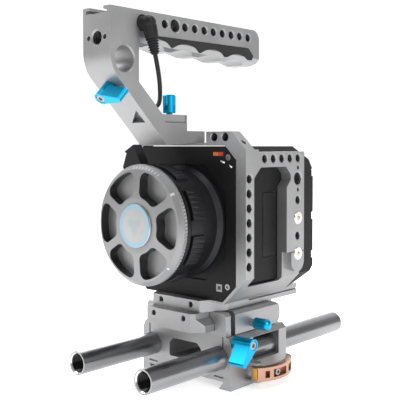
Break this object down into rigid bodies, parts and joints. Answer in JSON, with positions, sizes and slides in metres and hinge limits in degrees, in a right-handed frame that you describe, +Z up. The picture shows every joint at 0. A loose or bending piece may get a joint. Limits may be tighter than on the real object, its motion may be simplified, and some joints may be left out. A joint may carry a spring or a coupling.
{
  "type": "cinema camera rig",
  "caption": "Box cinema camera in a metal cage with a top handle, trigger cable, sliding dovetail plate, quick-release base clamp and a pair of support rods.",
  "frame": {"origin": "centre of the base clamp's underside, on the optical plane", "axes": "+Z up, the lens looks along -Y, +X is to the right when seen from in front"},
  "size_m": [0.1247, 0.2114, 0.2386],
  "materials": {
    "grey_anodised": "bead-blasted grey anodised aluminium",
    "rod_anodised": "satin gunmetal anodised aluminium tube",
    "blue_anodised": "bright blue anodised aluminium",
    "copper_anodised": "rose copper anodised aluminium",
    "gold_anodised": "gold anodised tab",
    "camera_black": "fine textured black paint",
    "black_metal": "satin black anodised metal",
    "cap_grey": "satin silver-grey turned aluminium",
    "badge": "polished badge with a pale blue ring",
    "steel": "plain steel screws and pins",
    "polished_steel": "polished ring screws",
    "black_plastic": "matt black plastic",
    "red_plastic": "red record button",
    "grip_black": "dark grip panel",
    "cable_black": "black cable sheath",
    "filter_glass": "sensor filter glass",
    "board_green": "circuit board",
    "gold_contact": "gold plated contacts"
  },
  "bodies": {
    "base": {"base_clamp": "grey_anodised", "base_lever_pin": "steel", "riser_block": "grey_anodised", "riser_bolts": "steel", "rod_clamp_nut": "steel", "receiver_block": "grey_anodised"},
    "base_jaw_body": {"base_jaw": "grey_anodised"},
    "base_lever_body": {"base_lever": "copper_anodised", "base_lever_bridge": "copper_anodised", "base_lever_screw": "steel"},
    "safety_tab": {"base_lever_button": "gold_anodised"},
    "right_rod": {"rod_right": "rod_anodised"},
    "left_rod": {"rod_left": "rod_anodised"},
    "rod_lever_body": {"rod_lever": "blue_anodised", "rod_lever_screw": "steel"},
    "plate_jaw": {"receiver_jaw": "grey_anodised"},
    "plate_thumb_screw": {"plate_thumb_knob": "blue_anodised", "plate_thumb_shank": "steel"},
    "camera_sled": {"sliding_plate": "grey_anodised", "cage_base_plate": "grey_anodised", "cage_side_right": "grey_anodised", "cage_top_bridge": "grey_anodised", "cage_ring_screws": "polished_steel", "bridge_screws": "steel", "camera_front_plate": "camera_black", "front_plate_screws": "steel", "camera_body_shell": "camera_black", "camera_rear_housing": "camera_black", "card_door_pin": "steel", "battery_plate": "black_plastic", "battery_contacts": "gold_contact", "sensor_module": "black_metal", "sensor_filter": "filter_glass", "main_board": "board_green", "heat_sink": "grey_anodised", "fan_frame": "black_plastic", "lens_mount_base": "black_metal", "handle_frame": "grey_anodised", "grip_insert_right": "grip_black", "grip_insert_left": "grip_black", "cable_jack": "black_plastic", "cable_plug": "black_plastic", "trigger_cable": "cable_black", "camera_plug": "black_plastic"},
    "card_door_body": {"card_door": "black_plastic"},
    "button_1": {"function_button_1": "black_plastic"},
    "button_2": {"function_button_2": "black_plastic"},
    "button_3": {"function_button_3": "black_plastic"},
    "button_4": {"function_button_4": "black_plastic"},
    "button_record": {"record_button": "red_plastic"},
    "battery_latch": {"battery_release": "black_plastic"},
    "fan": {"fan_rotor": "black_plastic"},
    "lock_ring": {"lens_lock_ring": "black_metal"},
    "cap": {"lens_cap": "cap_grey", "cap_badge": "badge"},
    "arm_lever_body": {"arm_lever": "blue_anodised", "arm_lever_screw": "steel"},
    "foot_screw": {"foot_thumb_screw": "blue_anodised"},
    "trigger": {"trigger_button": "black_plastic"}
  },
  "joints": [
    {"name": "right_rod_slide", "type": "slide", "parent": "base", "child": "right_rod", "axis": [0, 1, 0], "range_m": [-0.06, 0.06]},
    {"name": "left_rod_slide", "type": "slide", "parent": "base", "child": "left_rod", "axis": [0, 1, 0], "range_m": [-0.06, 0.06]},
    {"name": "rod_lever_turn", "type": "hinge", "parent": "base", "child": "rod_lever_body", "pos_m": [0.05, -0.0276, 0.0312], "axis": [1, 0, 0], "range_deg": [-100, 0]},
    {"name": "base_lever_hinge", "type": "hinge", "parent": "base", "child": "base_lever_body", "pos_m": [0.046, -0.013, 0.00955], "axis": [0, 0, 1], "range_deg": [-70, 0]},
    {"name": "base_jaw_slide", "type": "slide", "parent": "base", "child": "base_jaw_body", "axis": [1, 0, 0], "range_m": [0, 0.001]},
    {"name": "safety_tab_slide", "type": "slide", "parent": "base_lever_body", "child": "safety_tab", "axis": [0, 1, 0], "range_m": [0, 0.001], "stiffness_N_per_m": 300},
    {"name": "plate_jaw_slide", "type": "slide", "parent": "base", "child": "plate_jaw", "axis": [1, 0, 0], "range_m": [0, 0.0012]},
    {"name": "plate_thumb_turn", "type": "hinge", "parent": "plate_jaw", "child": "plate_thumb_screw", "pos_m": [0.04, -0.006, 0.0396], "axis": [1, 0, 0], "continuous": true},
    {"name": "camera_slide", "type": "slide", "parent": "base", "child": "camera_sled", "axis": [0, 1, 0], "range_m": [-0.015, 0.02]},
    {"name": "card_door_hinge", "type": "hinge", "parent": "camera_sled", "child": "card_door_body", "pos_m": [0.04475, 0.0071, 0.105], "axis": [0, 0, 1], "range_deg": [0, 85]},
    {"name": "button_1_press", "type": "slide", "parent": "camera_sled", "child": "button_1", "axis": [-1, 0, 0], "range_m": [0, 0.0008], "stiffness_N_per_m": 300},
    {"name": "button_2_press", "type": "slide", "parent": "camera_sled", "child": "button_2", "axis": [-1, 0, 0], "range_m": [0, 0.0008], "stiffness_N_per_m": 300},
    {"name": "button_3_press", "type": "slide", "parent": "camera_sled", "child": "button_3", "axis": [-1, 0, 0], "range_m": [0, 0.0008], "stiffness_N_per_m": 300},
    {"name": "button_4_press", "type": "slide", "parent": "camera_sled", "child": "button_4", "axis": [-1, 0, 0], "range_m": [0, 0.0008], "stiffness_N_per_m": 300},
    {"name": "record_press", "type": "slide", "parent": "camera_sled", "child": "button_record", "axis": [-1, 0, 0], "range_m": [0, 0.0008], "stiffness_N_per_m": 300},
    {"name": "battery_latch_slide", "type": "slide", "parent": "camera_sled", "child": "battery_latch", "axis": [0, 0, 1], "range_m": [0, 0.002], "stiffness_N_per_m": 300},
    {"name": "fan_spin", "type": "hinge", "parent": "camera_sled", "child": "fan", "pos_m": [0, 0.0225, 0.107], "axis": [0, 1, 0], "continuous": true},
    {"name": "lock_ring_turn", "type": "hinge", "parent": "camera_sled", "child": "lock_ring", "pos_m": [0, -0.05875, 0.107], "axis": [0, -1, 0], "range_deg": [0, 50]},
    {"name": "lens_cap_pull", "type": "slide", "parent": "camera_sled", "child": "cap", "axis": [0, -1, 0], "range_m": [0, 0.018]},
    {"name": "arm_lever_turn", "type": "hinge", "parent": "camera_sled", "child": "arm_lever_body", "pos_m": [0, -0.09655, 0.19249], "axis": [0, -0.7096, -0.7046], "range_deg": [0, 100]},
    {"name": "foot_screw_turn", "type": "hinge", "parent": "camera_sled", "child": "foot_screw", "pos_m": [0, -0.0464, 0.183], "axis": [0, 0, 1], "continuous": true},
    {"name": "trigger_press", "type": "slide", "parent": "camera_sled", "child": "trigger", "axis": [1, 0, 0], "range_m": [0, 0.001], "stiffness_N_per_m": 300}
  ],
  "couplings": [
    {"joint": "base_jaw_slide", "follows": "base_lever_hinge", "m_per_rad": -0.000815}
  ]
}
